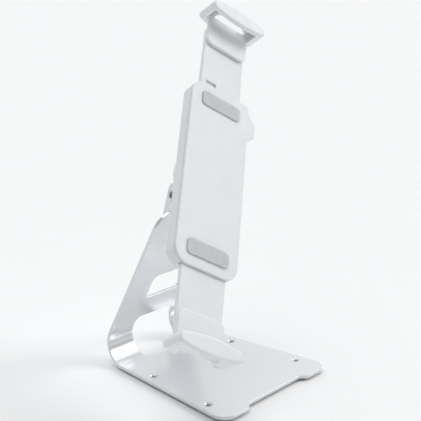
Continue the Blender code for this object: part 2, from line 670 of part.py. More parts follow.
def make_front_cover(frame):
    low = FRONT_COVER_Z - FRONT_COVER
    body = housing_body(low, FRONT_COVER_Z)
    body = round_edges(body, FRONT_COVER_Z, COVER_EDGE, 3)
    post = prism(circle(POST_RADIUS), NUT_Z + GAP, low + GAP)
    body = join(body, post)
    cutters = [prism(circle(COVER_SCREW_RADIUS + GAP, SMALL, place), low - PAST,
                     FRONT_COVER_Z - SKIN) for place in cover_screw_places()]
    finish("front_cover", cut(body, *cutters), WHITE_PLASTIC, frame)


def make_cover_parts(frame):
    seat = HOUSING_BACK_Z + COVER_HEAD + GAP
    length = FRONT_COVER_Z - SKIN - GAP - seat
    for number, (x, y) in enumerate(cover_screw_places(), 1):
        screw = socket_screw(COVER_SCREW_RADIUS, length, COVER_HEAD_RADIUS, COVER_HEAD)
        finish("cover_screw_%d" % number, moved(screw, (0, 0, seat)), DARK_STEEL, frame, (x, y, 0))
    for side, name in ((-1, "lower"), (1, "upper")):
        strip = prism(box_outline(COVER_PAD_HALF, -COVER_PAD_WIDE / 2, COVER_PAD_WIDE / 2,
                                  COVER_PAD_ROUND), -PAD, 0)
        place = (0, side * (HOUSING_HALF_LENGTH - COVER_PAD_INSET), 0)
        finish("cover_pad_" + name, strip, SILICONE, frame, place)


# ---- grip: rack, pinion and arms -----------------------------------------------------
def involute(angle):
    return tan(angle) - angle


def pinion_outline():
    """Involute teeth, thinned by the backlash, with a gap between teeth at angle zero."""
    base = PITCH_RADIUS * cos(PRESSURE)
    tip = PITCH_RADIUS + PINION_ADDENDUM * MODULE
    root = PITCH_RADIUS - (RACK_ADDENDUM + ROOT_CLEARANCE) * MODULE
    half_tooth = (TOOTH_PITCH / 2 - BACKLASH) / 2 / PITCH_RADIUS
    outline = []
    for tooth in range(TEETH):
        centre = 2 * pi * (tooth + 0.5) / TEETH
        flank = []
        for i in range(4):
            radius = base + (tip - base) * i / 3
            turn = involute(PRESSURE) - involute(acos(base / radius))
            flank.append((radius, half_tooth + turn))
        flank.insert(0, (root, flank[0][1]))
        for radius, spread in flank:
            outline.append((radius * cos(centre - spread), radius * sin(centre - spread)))
        for radius, spread in reversed(flank):
            outline.append((radius * cos(centre + spread), radius * sin(centre + spread)))
    return outline


def make_pinion(frame):
    gear = prism(pinion_outline(), NUT_Z + 2 * GAP, ARM_Z - GAP)
    bore = prism(circle(POST_RADIUS + GAP), NUT_Z - ARM, ARM_Z + ARM)
    finish("pinion", cut(gear, bore), ACETAL, frame)


def rack_teeth(first, last):
    """Teeth along the rack's inner side, between these places; one is centred on zero."""
    tip = PITCH_RADIUS - RACK_ADDENDUM * MODULE
    root = PITCH_RADIUS + (PINION_ADDENDUM + ROOT_CLEARANCE) * MODULE
    half_pitch = (TOOTH_PITCH / 2 - BACKLASH) / 2
    half_tip = half_pitch - (PITCH_RADIUS - tip) * tan(PRESSURE)
    half_root = half_pitch + (root - PITCH_RADIUS) * tan(PRESSURE)
    points = []
    tooth = round(last / TOOTH_PITCH)
    while tooth * TOOTH_PITCH - half_root > first:
        y = tooth * TOOTH_PITCH
        if y + half_root < last:
            points += [(root, y + half_root), (tip, y + half_tip),
                       (tip, y - half_tip), (root, y - half_root)]
        tooth -= 1
    return points


def arm_end(clamp_centre):
    return clamp_centre - BAR_MIDDLE / 2 - ARM_SHORT


def arm_outline(shift, clamp_centre):
    """Wide arm outside, a rack towards the swivel, a slot for the other arm's rack."""
    root_line = PITCH_RADIUS + (PINION_ADDENDUM + ROOT_CLEARANCE) * MODULE
    slot_inner = PITCH_RADIUS - RACK_ADDENDUM * MODULE - 2 * GAP
    slot_outer = RACK_OUTER + 2 * GAP
    wide = ARM_ROOT + shift
    tail = -RACK_REACH + shift
    slot_end = wide + 2 * ARM_IN + RACK_REACH - ARM_ROOT + SLOT_SPARE
    end = arm_end(clamp_centre)
    points = [(-ARM_HALF, wide), (-slot_outer, wide), (-slot_outer, slot_end),
              (-slot_inner, slot_end), (-slot_inner, wide), (slot_inner, wide)]
    # the rack's teeth are placed from the pinion, whatever the arm's own shift
    points += rack_teeth(tail + RACK_MARGIN, wide - RACK_MARGIN)
    points += [(root_line, tail), (RACK_OUTER, tail), (RACK_OUTER, wide), (ARM_HALF, wide)]
    top = rounded([(ARM_HALF, end, ARM_CORNER), (-ARM_HALF, end, ARM_CORNER), (0, 0, 0)], 5)[:-1]
    return points + top


def clamp_places():
    step = TEETH_OFF_CENTRE * TOOTH_PITCH
    return {"upper": (0.0, step), "lower": (pi, -step)}


def make_arm(frame, name, shift):
    centre = CLAMP_REACH + shift
    arm = prism(arm_outline(shift, centre), ARM_Z - ARM, ARM_Z)
    y = arm_end(centre) - CLAMP_SCREW_INSET
    holes = [prism(circle(CLAMP_SCREW_RADIUS + GAP, SMALL, (x, y)), ARM_Z - 2 * ARM, ARM_Z + ARM)
             for x in (-CLAMP_SCREW_X, CLAMP_SCREW_X)]
    finish("arm_" + name, cut(arm, *holes), WHITE_PLASTIC, frame)


# ---- corner clamps -------------------------------------------------------------------
def bar_outline(centre, grow=0.0):
    """Leaf-shaped bar across the corner: two shallow arcs with round ends."""
    middle = BAR_MIDDLE / 2 + grow
    end = BAR_END / 2 + grow
    reach = BAR_HALF + grow - end
    sag = middle - end
    radius = (reach * reach + sag * sag) / (2 * sag)
    half = asin(reach / radius)
    outline = arc((0, centre + middle - radius), radius, pi / 2 - half, pi / 2 + half, 12)
    outline += arc((-reach, centre), end, pi / 2 + half, 3 * pi / 2 - half, 8)[1:-1]
    outline += arc((0, centre - middle + radius), radius, 3 * pi / 2 - half,
                   3 * pi / 2 + half, 12)
    outline += arc((reach, centre), end, -pi / 2 + half, pi / 2 - half, 8)[1:-1]
    return outline


def tablet_corner(turn, clearance):
    """The tablet's outline in the clamp's own axes, grown by the clearance."""
    half_x = TABLET_WIDTH / 2 + clearance
    half_y = TABLET_HEIGHT / 2 + clearance
    corners = [(-half_x, -half_y), (half_x, -half_y), (half_x, half_y), (-half_x, half_y)]
    spin = Matrix.Rotation(-(ARM_ANGLE - pi / 2) - turn, 2)
    placed = [spin @ Vector((x, y + TABLET_RISE)) for x, y in corners]
    return [(p.x, p.y) for p in placed]


def make_clamp(frame, name, turn, shift):
    centre = CLAMP_REACH + shift
    end = arm_end(centre)
    bar = prism(bar_outline(centre), CLAMP_REAR_Z, BAR_TOP_Z)
    bar = round_edges(bar, BAR_TOP_Z, EDGE_FRONT, 3)
    bar = round_edges(bar, CLAMP_REAR_Z, EDGE_REAR, 3)
    neck_end = centre - CLAMP_NECK
    neck = prism(rounded([(-ARM_HALF, centre, 0), (-ARM_HALF, neck_end, NECK_ROUND),
                          (ARM_HALF, neck_end, NECK_ROUND), (ARM_HALF, centre, 0)], 5),
                 CLAMP_PLATE_Z, CLAMP_PLATE_Z + CLAMP_PLATE)
    body = join(bar, neck)
    slot_low = CLAMP_PLATE_Z + CLAMP_PLATE
    slot_high = TABLET_THICK + LIP_PAD + GAP
    wall = WALL_PAD + 2 * GAP
    space = prism(tablet_corner(turn, wall), slot_low, slot_high)
    # the outer edge is notched between its ends, so that the tablet's corner shows past it
    bite_low = centre + BAR_MIDDLE / 2 - CLAMP_BITE
    bite = prism(rounded([(-BITE_HALF, bite_low, BITE_ROUND), (BITE_HALF, bite_low, BITE_ROUND),
                          (BITE_HALF, centre + BAR_MIDDLE, 0),
                          (-BITE_HALF, centre + BAR_MIDDLE, 0)]),
                 CLAMP_REAR_Z - PAST, slot_low + GAP)
    y = end - CLAMP_SCREW_INSET
    pilot = [prism(circle(CLAMP_SCREW_RADIUS + GAP, SMALL, (x, y)), CLAMP_PLATE_Z - PAST,
                   CLAMP_PLATE_Z + CLAMP_PLATE - SKIN) for x in (-CLAMP_SCREW_X, CLAMP_SCREW_X)]
    body = cut(body, space, bite, *pilot)
    finish("clamp_" + name, body, WHITE_PLASTIC, frame, smooth=40)


def make_clamp_parts(frame, name, turn, shift):
    centre = CLAMP_REACH + shift
    y = arm_end(centre) - CLAMP_SCREW_INSET
    seat = ARM_Z - ARM - GAP
    length = CLAMP_PLATE_Z + CLAMP_PLATE - SKIN - GAP - seat
    for side, hand in ((-1, "left"), (1, "right")):
        screw = socket_screw(CLAMP_SCREW_RADIUS, length, COVER_HEAD_RADIUS, COVER_HEAD)
        finish("clamp_screw_%s_%s" % (name, hand), moved(screw, (0, 0, seat)), DARK_STEEL, frame,
               (side * CLAMP_SCREW_X, y, 0))
    glass = TABLET_THICK
    strip = prism(box_outline(LIP_PAD_HALF, centre - LIP_PAD_WIDE / 2, centre + LIP_PAD_WIDE / 2,
                              LIP_PAD_ROUND, 4), glass, glass + LIP_PAD)
    finish("lip_pad_" + name, strip, SILICONE, frame)
    # wall pads stand on the tablet's two edges, inside the clamp's end walls
    inner = tablet_corner(turn, GAP)
    outer = tablet_corner(turn, GAP + WALL_PAD)
    corner = max(range(4), key=lambda i: inner[i][1])
    for hand, step in (("right", -1), ("left", 1)):
        here = Vector(inner[corner])
        beside = Vector(inner[(corner + step) % 4])
        along = (beside - here).normalized()
        out = Vector((-along.y, along.x))
        if out.y < 0:
            out = -out
        # where the wall crosses the bar's outline, measured along the edge
        side = 1 if hand == "right" else -1
        middle = Vector((side * (BAR_HALF - BAR_END * WALL_PAD_SHARE), centre))
        place = here + along * (middle - here).dot(along)
        start = place - along * WALL_PAD_HALF
        end = place + along * WALL_PAD_HALF
        outline = [start, end, end + out * WALL_PAD, start + out * WALL_PAD]
        pad = prism([(p.x, p.y) for p in outline], WALL_PAD_INSET, glass - WALL_PAD_INSET)
        finish("wall_pad_%s_%s" % (name, hand), pad, SILICONE, frame)


# ---- key lock ------------------------------------------------------------------------
def make_lock(frame, plug_frame):
    back = HOUSING_BACK_Z - GAP
    face = back - BARREL_PROUD
    barrel = turned([(PLUG_RADIUS + GAP, face), (BARREL_FLANGE - FLANGE_EDGE, face),
                     (BARREL_FLANGE, face + FLANGE_EDGE), (BARREL_FLANGE, back),
                     (BARREL_RADIUS, back), (BARREL_RADIUS, NUT_Z - GAP),
                     (PLUG_RADIUS + GAP, NUT_Z - GAP)])
    finish("lock_barrel", barrel, NICKEL, frame, (LOCK_X, LOCK_Y, 0))
    plug = prism(circle(PLUG_RADIUS), face + PLUG_SUNK, NUT_Z - GAP)
    keyway = prism(box_outline(KEYWAY_WIDE / 2, -KEYWAY_LONG / 2, KEYWAY_LONG / 2),
                   face - PAST, face + KEYWAY_DEEP)
    finish("lock_plug", cut(plug, keyway), NICKEL, plug_frame)
    cam = prism(circle(CAM_RADIUS, ROUND, (CAM_THROW, 0)), NUT_Z + GAP, ARM_Z - GAP)
    finish("lock_cam", cam, DARK_STEEL, plug_frame)


# ---- assembly ------------------------------------------------------------------------
def build():
    clear_scene()
    stand = empty("stand_frame", None, STAND_PLACE)
    make_stand(stand)
    make_feet(stand)

    # the upright's frame: x across, y up the sheet, z out of its outer face
    top_y, top_z = bend(BLANK_LENGTH, 0)
    up = Vector((0, -cos(LEAN), sin(LEAN)))
    back = Vector((0, sin(LEAN), cos(LEAN)))
    axes = Matrix((up.cross(back), up, back)).transposed()
    upright = empty("upright_frame", stand, (0, top_y - ORIGIN_Y, top_z), axes.to_euler())
    make_bracket(upright)

    hinge_place = Vector((0, top_y - ORIGIN_Y, top_z)) + up * HINGE_RISE + back * HINGE_BEHIND
    pin = empty("hinge_pin_frame", stand, hinge_place, (TILT, 0, 0))
    make_hinge_pin(pin)
    head = empty("tilt_frame", stand, hinge_place, (TILT, 0, 0))
    make_tilt_plate(head)

    grip = empty("swivel_frame", head, (0, 0, HEAD_DEPTH), (0, 0, ARM_ANGLE - pi / 2))
    make_swivel(grip)
    make_rear_cover(grip)
    make_front_cover(grip)
    make_cover_parts(grip)
    make_pinion(grip)
    for name, (turn, shift) in clamp_places().items():
        side = empty("arm_frame_" + name, grip, (0, 0, 0), (0, 0, turn))
        make_arm(side, name, shift)
        make_clamp(side, name, turn, shift)
        make_clamp_parts(side, name, turn, shift)
    plug = empty("lock_frame", grip, (LOCK_X, LOCK_Y, 0))
    make_lock(grip, plug)
    bpy.context.view_layer.update()


build()
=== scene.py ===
import json
from math import acos, atan2, cos, pi, radians, sin, tan

import bmesh
import bpy
from mathutils import Matrix, Vector

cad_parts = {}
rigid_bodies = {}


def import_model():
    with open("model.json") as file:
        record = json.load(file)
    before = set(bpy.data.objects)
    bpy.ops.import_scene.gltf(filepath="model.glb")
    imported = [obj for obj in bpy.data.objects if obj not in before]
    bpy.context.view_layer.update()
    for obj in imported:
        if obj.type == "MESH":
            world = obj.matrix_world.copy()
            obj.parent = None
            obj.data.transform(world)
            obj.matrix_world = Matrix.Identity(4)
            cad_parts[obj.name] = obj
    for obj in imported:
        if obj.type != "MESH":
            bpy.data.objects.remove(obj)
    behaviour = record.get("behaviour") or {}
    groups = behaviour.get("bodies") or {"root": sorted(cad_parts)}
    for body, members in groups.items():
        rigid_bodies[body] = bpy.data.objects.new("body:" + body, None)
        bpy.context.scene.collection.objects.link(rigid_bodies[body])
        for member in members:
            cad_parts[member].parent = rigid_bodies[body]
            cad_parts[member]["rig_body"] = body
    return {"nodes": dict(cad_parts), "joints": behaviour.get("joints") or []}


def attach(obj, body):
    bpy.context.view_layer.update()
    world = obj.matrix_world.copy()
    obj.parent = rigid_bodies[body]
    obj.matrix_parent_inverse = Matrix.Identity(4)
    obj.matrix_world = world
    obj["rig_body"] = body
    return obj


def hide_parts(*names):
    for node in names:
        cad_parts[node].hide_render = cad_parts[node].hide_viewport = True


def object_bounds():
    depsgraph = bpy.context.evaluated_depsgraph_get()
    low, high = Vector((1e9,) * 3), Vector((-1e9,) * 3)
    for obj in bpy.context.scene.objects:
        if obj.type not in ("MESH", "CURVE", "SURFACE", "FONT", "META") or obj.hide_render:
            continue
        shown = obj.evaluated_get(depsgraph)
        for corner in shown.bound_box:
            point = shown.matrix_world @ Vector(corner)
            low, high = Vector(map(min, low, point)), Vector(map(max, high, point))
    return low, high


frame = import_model()
CAD_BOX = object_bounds()

MM = 0.001
GAP = 0.3 * MM                     # air between pieces that touch
PAST = 2 * MM                      # how far a cutter runs past the face that it cuts
MERGE = 1e-6                       # metres; a boolean's vertices nearer than this are one
CAD_MERGE = 2e-6                   # the same for a copy of the CAD's vertices

# ---- sizes of the bent sheet, along the outer face of the flat blank -----------------
SHEET = 2.5 * MM
SHEET_EDGE = 0.35 * MM             # rounding that the coat gives the cut edges
FRONT_WIDTH = 119.9 * MM
SIDE_TAPER = radians(5.74)
BASE_FLAT = 115.4 * MM
BEND_RADIUS = 17.7 * MM
LEAN = radians(65.5)
UPRIGHT_FLAT = 110.0 * MM
BEND_TURN = pi - LEAN
BEND_LENGTH = BEND_RADIUS * BEND_TURN
UPRIGHT_START = BASE_FLAT + BEND_LENGTH
BLANK_LENGTH = UPRIGHT_START + UPRIGHT_FLAT
HOLE_PLACES_Y = (24.1 * MM, 84.5 * MM)
ORIGIN_Y = sum(HOLE_PLACES_Y) / 2
HOLE_INSET = 8.0 * MM
HOLE_RADIUS = 2.1 * MM
SINK_RADIUS = 3.2 * MM
SINK_SOFT = 0.25 * MM              # rounding of the countersink's rim
FRONT_CORNER = 11.0 * MM
TOP_CORNER = 16.0 * MM
NOTCH_HALF = 31.5 * MM             # finger notch in the front edge
NOTCH_DEPTH = 4.7 * MM
NOTCH_ROUND = 2.3 * MM
# corners of the two openings in the blank: (x, distance from the front edge, rounding)
HAND_HOLE = [(22.8 * MM, 109.4 * MM, 8.5 * MM), (20.4 * MM, 157.3 * MM, 6.5 * MM),
             (-20.4 * MM, 157.3 * MM, 6.5 * MM), (-22.8 * MM, 109.4 * MM, 8.5 * MM)]
CABLE_HOLE = [(18.0 * MM, 176.8 * MM, 2.0 * MM), (16.3 * MM, 197.6 * MM, 6.0 * MM),
              (-16.3 * MM, 197.6 * MM, 6.0 * MM), (-18.0 * MM, 176.8 * MM, 2.0 * MM)]
BEND_STRIPS = 48
# the middle of the screw holes, on the underside, from the CAD's origin
STAND_PLACE = (-1.815 * MM, -5.95 * MM, 1.9 * MM)

# ---- bracket, hinge and swivel -------------------------------------------------------
HINGE_RISE = 10.7 * MM
HINGE_BEHIND = 3.7 * MM
PIN_HOLE = 3.3 * MM
BRACKET_HOLE = 2.3 * MM
DRILLED_RIM = 0.2 * MM             # rounding of a drilled hole's rim
EAR = 2.5 * MM
EAR_INNER = 15.5 * MM
EAR_RADIUS = 8.0 * MM
BRACKET_LENGTH = 30.0 * MM
BRACKET_SCREW_X = 8.5 * MM
BRACKET_SCREW_DROP = 18.0 * MM
SCREW_TAIL = 3.0 * MM              # bracket screw past the bracket
EAR_START = 0.25                   # radians that the ears' round end stops short by
EAR_PAST_HINGE = 3.5 * MM          # ears behind the hinge axis, below the hinge
EAR_SLOPE = 9.0 * MM               # the ears' lower corner is cut off over this length
EAR_LIFT = 3.0 * MM                # ears end this far above the web's lower edge
WEB_ROUND = 1.0 * MM
HINGE_NUT = 5.0 * MM
HINGE_TAIL = 1.5 * MM              # bolt past its nut
SPRING_WASHER = 0.9 * MM
TILT = radians(59.1)
LUG_OUTER = 13.7 * MM
LUG = 2.5 * MM
LUG_RADIUS = 7.2 * MM
LUG_SPREAD = 1.6                   # a lug's half width at the plate, in lug radii
PLATE_RADIUS = 25.0 * MM
PLATE = 3.0 * MM
HEAD_DEPTH = 26.5 * MM
METAL_EDGE = 0.3 * MM

# ---- grip: z is measured off the plane of the tablet's back --------------------------
ARM_ANGLE = radians(54.7)
FRONT_COVER_Z = -1.2 * MM
FRONT_COVER = 1.8 * MM
ARM_Z = -3.3 * MM
ARM = 3.5 * MM
NUT_Z = -7.1 * MM
REAR_WALL_Z = -10.6 * MM
HOUSING_BACK_Z = -13.1 * MM
PLATE_Z = -14.7 * MM
HOUSING_HALF = 27.5 * MM
HOUSING_HALF_LENGTH = 76.0 * MM
HOUSING_CORNER = 12.0 * MM
HOUSING_EDGE = 2.0 * MM            # rounding of the rear cover's outer edge
COVER_EDGE = 0.8 * MM              # rounding of the front cover's outer edge
SEAM_EDGE = 0.2 * MM               # rounding where the two covers meet
FINE_EDGE = 0.15 * MM
POCKET_INSET = 5 * MM              # lightening pockets, from the arms' edges
POCKET_END = 8 * MM                # and from the housing's ends
POCKET_MIDDLE = 12 * MM            # and from the swivel
POCKET_ROUND = 3 * MM
NUT_HALF = 5.0 * MM                # half the width of the swivel nut
POST_RADIUS = 2.4 * MM             # post inside the front cover
POST_EDGE = 0.3 * MM
COVER_SCREW_X = 23.4 * MM
COVER_SCREW_Y = 34.0 * MM
SMALL_HOLE = 1.6 * MM
COVER_HEAD = 1.5 * MM
SKIN = 0.6 * MM                    # plastic left in front of a blind screw hole
COVER_HEAD_RADIUS = 2.4 * MM
ARM_HALF = 19.5 * MM
ARM_ROOT = 45.0 * MM
RACK_REACH = 14.0 * MM
RACK_OUTER = 14.0 * MM
ARM_IN = 31.0 * MM
TOOTH_PITCH = pi * MM
PITCH_RADIUS = 6.0 * MM
RACK_TIP = PITCH_RADIUS - 0.65 * MM
RACK_ROOT = PITCH_RADIUS + 1.10 * MM
BACKLASH = 0.3 * MM
PRESSURE = radians(20)
RACK_MARGIN = 1 * MM               # plain edge at both ends of a rack
SLOT_SPARE = 2 * MM                # slot past the other rack's end
ARM_CORNER = 5 * MM
ARM_SHORT = 1.0 * MM               # arm's end to the bar's inner edge
CLAMP_REACH = 137.0 * MM
BAR_MIDDLE = 13.2 * MM
CLAMP_SCREW_X = 11.0 * MM
CLAMP_SCREW_INSET = 11.0 * MM
CLAMP_PLATE = 2.6 * MM             # plate behind the tablet
CLAMP_VOXEL = 0.35 * MM            # the clamps' mesh: its grid, smoothing and share kept
CLAMP_PASSES = 6
CLAMP_KEPT = 0.35
LOCK_X = 25.1 * MM
LOCK_Y = 56.0 * MM
LOCK_LOBE = 9.5 * MM
LOBE_ROUND = 3 * MM
BARREL_RADIUS = 5.6 * MM
BARREL_HOLE = 5.9 * MM

# ---- rounding of the small pieces ----------------------------------------------------
NUT_SOFT = 0.2 * MM
FINE_SOFT = 0.12 * MM
RUBBER_SOFT = 0.35 * MM
SILICONE_SOFT = 0.25 * MM

# ---- the photograph's view -----------------------------------------------------------
CAMERA_PLACE = (-0.4800, -0.4281, 0.3023)
CAMERA_BACK = (-0.7135, -0.6491, 0.2639)
CAMERA_LENS = 78.9
FLOOR_Z = CAD_BOX[0].z
FLOOR_RADIUS = 12.0
# sun lamps, name: (place that it shines from, angular size in degrees, strength)
LAMPS = {"top": ((-0.1, 0.1, 1.5), 50, 0.97),
         "key": ((1.0, -0.75, 1.0), 30, 1.08)}
SWEEP_WAY = (0.55, 0.83, 0.0)      # towards the white sweep behind the stand


# ---- outlines ------------------------------------------------------------------------
def arc(centre, radius, start, end, steps):
    return [(centre[0] + radius * cos(start + (end - start) * i / steps),
             centre[1] + radius * sin(start + (end - start) * i / steps))
            for i in range(steps + 1)]


def circle(radius, sides=64, centre=(0, 0)):
    return arc(centre, radius, 0, 2 * pi, sides)[:-1]


def rounded(corners, steps=12):
    """Closed outline from (x, y, radius) corners."""
    outline = []
    for i, (x, y, radius) in enumerate(corners):
        here = Vector((x, y))
        before = (Vector(corners[i - 1][:2]) - here).normalized()
        after = (Vector(corners[(i + 1) % len(corners)][:2]) - here).normalized()
        if radius <= 0:
            outline.append((x, y))
            continue
        half = acos(max(-1.0, min(1.0, before.dot(after)))) / 2
        centre = here + (before + after).normalized() * radius / sin(half)
        first = here + before * radius / tan(half) - centre
        last = here + after * radius / tan(half) - centre
        start = atan2(first.y, first.x)
        sweep = (atan2(last.y, last.x) - start + pi) % (2 * pi) - pi
        outline += arc(centre, radius, start, start + sweep, steps)
    return outline


def box_outline(half_x, low_y, high_y, radius=0.0, steps=8):
    return rounded([(-half_x, low_y, radius), (half_x, low_y, radius),
                    (half_x, high_y, radius), (-half_x, high_y, radius)], steps)


def grown(outline, distance):
    """The outline moved outwards by distance, or inwards where it is negative."""
    if distance == 0:
        return outline
    points = [Vector(p) for p in outline]
    area = sum(a.x * b.y - b.x * a.y for a, b in zip(points, points[1:] + points[:1]))
    side = 1 if area > 0 else -1
    result = []
    for i, here in enumerate(points):
        before = (here - points[i - 1]).normalized()
        after = (points[(i + 1) % len(points)] - here).normalized()
        first = Vector((before.y, -before.x)) * side
        second = Vector((after.y, -after.x)) * side
        way = (first + second).normalized()
        result.append(tuple(here + way * distance / max(0.5, way.dot(first))))
    return result


# ---- solids --------------------------------------------------------------------------
def face_outwards(bm):
    bmesh.ops.recalc_face_normals(bm, faces=bm.faces)
    if bm.calc_volume(signed=True) < 0:
        bmesh.ops.reverse_faces(bm, faces=bm.faces)
    return bm


def loft(outline, rings):
    """Solid whose outline grows by each ring's first number at the ring's height."""
    bm = bmesh.new()
    layers = [[bm.verts.new((x, y, z)) for x, y in grown(outline, grow)] for grow, z in rings]
    bm.faces.new(layers[0])
    bm.faces.new(layers[-1])
    count = len(outline)
    for low, high in zip(layers, layers[1:]):
        for i in range(count):
            j = (i + 1) % count
            bm.faces.new((low[i], low[j], high[j], high[i]))
    return face_outwards(bm)


def plate(outline, low, high, edge, steps=3):
    """Plate with both rims rounded by edge."""
    turns = [pi / 2 * i / steps for i in range(steps + 1)]
    rings = [(edge * (sin(a) - 1), low + edge * (1 - cos(a))) for a in turns]
    rings += [(edge * (sin(a) - 1), high - edge * (1 - cos(a))) for a in reversed(turns)]
    return loft(outline, rings)


def hole(outline, low, high, edge, steps=3):
    """Cutter for a hole through a plate from low to high, with rounded rims."""
    turns = [pi / 2 * i / steps for i in range(steps + 1)]
    rings = [(edge, low - PAST)]
    rings += [(edge * (1 - sin(a)), low + edge * (1 - cos(a))) for a in turns]
    rings += [(edge * (1 - sin(a)), high - edge * (1 - cos(a))) for a in reversed(turns)]
    rings.append((edge, high + PAST))
    return loft(outline, rings)


def prism(outline, low, high):
    return loft(outline, [(0, low), (0, high)])


def turned(profile, sides=48):
    """Solid of revolution about z from a closed (radius, z) profile."""
    bm = bmesh.new()
    rings = []
    for radius, z in profile:
        count = 1 if radius == 0 else sides
        rings.append([bm.verts.new((radius * cos(2 * pi * k / sides),
                                    radius * sin(2 * pi * k / sides), z)) for k in range(count)])
    for here, there in zip(rings, rings[1:] + rings[:1]):
        if len(here) == 1 and len(there) == 1:
            continue
        for k in range(sides):
            n = (k + 1) % sides
            quad = [here[k % len(here)], here[n % len(here)],
                    there[n % len(there)], there[k % len(there)]]
            bm.faces.new(list(dict.fromkeys(quad)))
    return face_outwards(bm)


def threaded(radius, pitch, low, high, sides=32):
    """Rod along z with a helical thread that runs out at both ends."""
    rows = max(8, round((high - low) / pitch * 6))
    depth = 0.55 * pitch
    bm = bmesh.new()
    layers = []
    for row in range(rows + 1):
        z = low + (high - low) * row / rows
        fade = min(1.0, row / 4, (rows - row) / 4)
        layer = []
        for k in range(sides):
            phase = (z / pitch - k / sides) % 1.0
            wave = abs(2 * phase - 1)
            reach = radius - depth * (fade * wave + (1 - fade) * 0.75)
            angle = 2 * pi * k / sides
            layer.append(bm.verts.new((reach * cos(angle), reach * sin(angle), z)))
        layers.append(layer)
    bm.faces.new(layers[0])
    bm.faces.new(layers[-1])
    for here, there in zip(layers, layers[1:]):
        for k in range(sides):
            n = (k + 1) % sides
            bm.faces.new((here[k], here[n], there[n], there[k]))
    return face_outwards(bm)


def moved(bm, offset=(0, 0, 0), turn=None):
    if turn is not None:
        bmesh.ops.transform(bm, matrix=turn, verts=bm.verts)
    bmesh.ops.translate(bm, verts=bm.verts, vec=offset)
    return bm


def combine(bm, other, operation):
    pair = []
    for source in (bm, other):
        obj = bpy.data.objects.new("work", bpy.data.meshes.new("work"))
        source.to_mesh(obj.data)
        source.free()
        bpy.context.collection.objects.link(obj)
        pair.append(obj)
    base, tool = pair
    step = base.modifiers.new("step", "BOOLEAN")
    step.operation = operation
    step.object = tool
    bpy.context.view_layer.update()
    solved = base.evaluated_get(bpy.context.evaluated_depsgraph_get())
    result = bmesh.new()
    result.from_mesh(solved.to_mesh())
    solved.to_mesh_clear()
    for obj in pair:
        bpy.data.objects.remove(obj, do_unlink=True)
    bmesh.ops.remove_doubles(result, verts=result.verts, dist=MERGE)
    return result


def cut(bm, *cutters):
    for cutter in cutters:
        bm = combine(bm, cutter, "DIFFERENCE")
    return bm


def join(bm, *others):
    for other in others:
        bm = combine(bm, other, "UNION")
    return bm


def together(bm, *others):
    """Several closed shells in one bmesh."""
    for other in others:
        mesh = bpy.data.meshes.new("shell")
        other.to_mesh(mesh)
        other.free()
        bm.from_mesh(mesh)
        bpy.data.meshes.remove(mesh)
    return bm


# ---- where the frames are ------------------------------------------------------------
def joint(name):
    return next(j for j in frame["joints"] if j["name"] == name)


def bend(along, depth):
    """Place (y, z) on the stand of a point of the blank; depth is in from the outer face."""
    radius = BEND_RADIUS - depth
    if along <= BASE_FLAT:
        return along, depth
    turn = min((along - BASE_FLAT) / BEND_RADIUS, BEND_TURN)
    rest = max(0.0, along - UPRIGHT_START)
    return (BASE_FLAT + radius * sin(turn) - rest * cos(LEAN),
            BEND_RADIUS - radius * cos(turn) + rest * sin(LEAN))


def upright_frame():
    y, z = bend(BLANK_LENGTH, 0)
    up = Vector((0, -cos(LEAN), sin(LEAN)))
    back = Vector((0, sin(LEAN), cos(LEAN)))
    axes = Matrix((up.cross(back), up, back)).transposed().to_4x4()
    return Matrix.Translation((0, y - ORIGIN_Y, z)) @ axes


STAND = Matrix.Translation(STAND_PLACE)
UPRIGHT = STAND @ upright_frame()
HINGE = Matrix.Translation(joint("tilt")["pos_m"]) @ Matrix.Rotation(TILT, 4, "X")
GRIP = (Matrix.Translation(joint("swivel")["pos_m"]) @ Matrix.Rotation(TILT, 4, "X")
        @ Matrix.Rotation(ARM_ANGLE - pi / 2, 4, "Z"))
# each arm's turn about the swivel and its shift along itself, one tooth out or in
ARM_SIDES = {"upper": (0.0, TOOTH_PITCH), "lower": (pi, -TOOTH_PITCH)}
ARM_FRAMES = {name: GRIP @ Matrix.Rotation(turn, 4, "Z")
              for name, (turn, _) in ARM_SIDES.items()}


# ---- finished pieces -----------------------------------------------------------------
def piece(node, bm, place, look, smooth=40):
    """The fine mesh that stands for a CAD node, riding on that node's body."""
    face_outwards(bm)
    mesh = bpy.data.meshes.new(node + "_look")
    bm.to_mesh(mesh)
    bm.free()
    mesh.transform(place)
    mesh.shade_smooth()
    mesh.set_sharp_from_angle(angle=radians(smooth))
    obj = bpy.data.objects.new(node + "_look", mesh)
    bpy.context.collection.objects.link(obj)
    weigh = obj.modifiers.new("weighted_normals", "WEIGHTED_NORMAL")
    weigh.keep_sharp = True
    mesh.materials.append(look)
    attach(obj, frame["nodes"][node]["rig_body"])
    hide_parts(node)
    return obj


def cad_copy(node):
    bm = bmesh.new()
    bm.from_mesh(frame["nodes"][node].data)
    bmesh.ops.remove_doubles(bm, verts=bm.verts, dist=CAD_MERGE)
    bmesh.ops.dissolve_limit(bm, angle_limit=radians(0.6), verts=bm.verts, edges=bm.edges)
    return bm


def softened(node, look, width, steps=3, corner=28, smooth=40):
    """A CAD node's shape with its sharp edges rounded."""
    bm = cad_copy(node)
    sharp = [e for e in bm.edges if e.is_manifold and e.calc_face_angle(0) > radians(corner)]
    bmesh.ops.bevel(bm, geom=sharp, offset=width, segments=steps, profile=0.5,
                    affect="EDGES", clamp_overlap=True)
    return piece(node, bm, Matrix.Identity(4), look, smooth)


